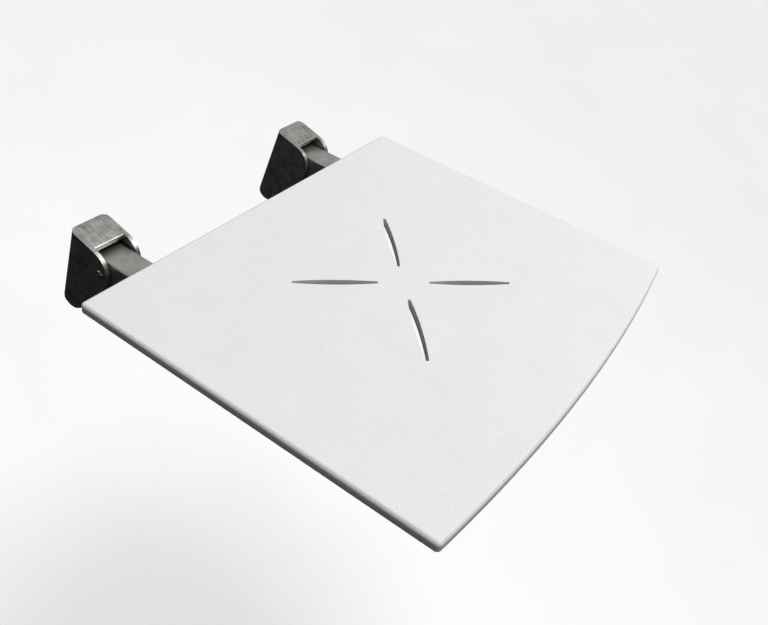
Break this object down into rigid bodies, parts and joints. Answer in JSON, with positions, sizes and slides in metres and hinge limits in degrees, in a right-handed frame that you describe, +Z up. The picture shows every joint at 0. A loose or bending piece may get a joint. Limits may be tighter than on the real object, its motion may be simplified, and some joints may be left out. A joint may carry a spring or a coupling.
{
  "type": "folding shower seat",
  "caption": "Wall-mounted shower seat with a slotted flat plate on tube arms that swing in steel wall brackets, folding up against the wall.",
  "frame": {"origin": "on the wall plane, midway between the two brackets, at the height of the seat's pivot axis", "axes": "+Z up, +Y square into the wall, +X to the right as seen facing the wall; the room and the seat lie towards -Y"},
  "size_m": [0.45, 0.448, 0.2157],
  "materials": {
    "seat_plate": "solid white compact laminate, satin, fine orange-peel",
    "brushed_stainless": "brushed stainless steel",
    "machined_stainless": "turned stainless steel",
    "brass_insert": "plain brass",
    "black_nylon": "moulded nylon",
    "black_rubber": "moulded rubber"
  },
  "bodies": {
    "wall_brackets": {"bracket_left": "brushed_stainless", "bracket_right": "brushed_stainless", "stop_buffer_left": "black_rubber", "stop_buffer_right": "black_rubber", "pivot_pin_left": "machined_stainless", "pivot_pin_right": "machined_stainless", "friction_washer_left_inner": "machined_stainless", "friction_washer_left_outer": "machined_stainless", "friction_washer_right_inner": "machined_stainless", "friction_washer_right_outer": "machined_stainless"},
    "seat": {"seat_plate": "seat_plate", "arm_left": "brushed_stainless", "arm_right": "brushed_stainless", "arm_pad_left": "black_rubber", "arm_pad_right": "black_rubber", "pivot_sleeve_left": "machined_stainless", "pivot_sleeve_right": "machined_stainless", "pivot_bush_left_inner": "black_nylon", "pivot_bush_left_outer": "black_nylon", "pivot_bush_right_inner": "black_nylon", "pivot_bush_right_outer": "black_nylon", "tail_plug_left": "black_nylon", "tail_plug_right": "black_nylon", "front_plug_left": "black_nylon", "front_plug_right": "black_nylon", "seat_screw_left_1": "machined_stainless", "seat_screw_left_2": "machined_stainless", "seat_screw_left_3": "machined_stainless", "seat_screw_right_1": "machined_stainless", "seat_screw_right_2": "machined_stainless", "seat_screw_right_3": "machined_stainless", "screw_washer_left_1": "machined_stainless", "screw_washer_left_2": "machined_stainless", "screw_washer_left_3": "machined_stainless", "screw_washer_right_1": "machined_stainless", "screw_washer_right_2": "machined_stainless", "screw_washer_right_3": "machined_stainless", "seat_insert_left_1": "brass_insert", "seat_insert_left_2": "brass_insert", "seat_insert_left_3": "brass_insert", "seat_insert_right_1": "brass_insert", "seat_insert_right_2": "brass_insert", "seat_insert_right_3": "brass_insert"}
  },
  "joints": [
    {"name": "seat_fold", "type": "hinge", "parent": "wall_brackets", "child": "seat", "pos_m": [0, -0.0445, 0], "axis": [-1, 0, 0], "range_deg": [-15.5, 74.5]}
  ]
}
